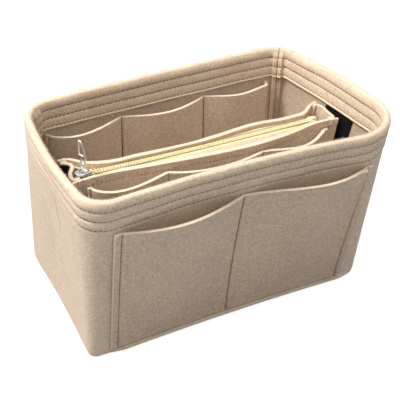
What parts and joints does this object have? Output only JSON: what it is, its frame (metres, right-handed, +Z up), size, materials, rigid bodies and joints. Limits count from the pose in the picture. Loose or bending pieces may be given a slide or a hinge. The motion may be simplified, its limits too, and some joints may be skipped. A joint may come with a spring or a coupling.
{
  "type": "handbag organizer insert",
  "caption": "Open felt tub with sewn pockets inside and out, and a zipped divider pouch on touch-fastener strips that lifts out.",
  "frame": {"origin": "middle of the footprint, on the surface it stands on", "axes": "+X along the length, the front wall with the two outside pockets faces -Y, +Z up out of the open top"},
  "size_m": [0.2846, 0.1862, 0.1619],
  "materials": {
    "felt": "thick needled wool-look felt, matt",
    "pocket_felt": "the same felt, cut edges left raw",
    "touch_strip": "black hook and loop tape",
    "zip_tape": "woven pale yellow zip tape",
    "zip_coil": "nylon coil, half matt",
    "metal": "bright nickel plate"
  },
  "bodies": {
    "tub": {"front_and_end_walls": "felt", "back_wall": "felt", "base_panel": "felt", "front_pocket_panel": "pocket_felt", "back_pocket_panel": "pocket_felt", "loop_strip_left": "touch_strip", "loop_strip_right": "touch_strip"},
    "pouch": {"pouch_front_panel": "felt", "pouch_back_panel": "felt", "pouch_base_panel": "felt", "pouch_gusset_left": "felt", "pouch_gusset_right": "felt", "pouch_pocket_panel": "pocket_felt", "hook_strip_left": "touch_strip", "hook_strip_right": "touch_strip", "zip_tape_front": "zip_tape", "zip_tape_back": "zip_tape", "zip_coil_front": "zip_coil", "zip_coil_back": "zip_coil", "zip_stop": "metal"},
    "slider": {"slider_body": "metal", "slider_bridge": "metal"},
    "puller": {"puller": "metal"}
  },
  "joints": [
    {"name": "pouch_lift", "type": "slide", "parent": "tub", "child": "pouch", "axis": [0, 0, 1], "range_m": [0, 0.165]},
    {"name": "slider_travel", "type": "slide", "parent": "pouch", "child": "slider", "axis": [1, 0, 0], "range_m": [0, 0.206], "deforming": ["zip_coil_front", "zip_coil_back"]},
    {"name": "puller_swing", "type": "hinge", "parent": "slider", "child": "puller", "pos_m": [-0.10793, 0.00215, 0.1348], "axis": [-0.4226, 0.9063, 0], "range_deg": [-78, 94]}
  ]
}
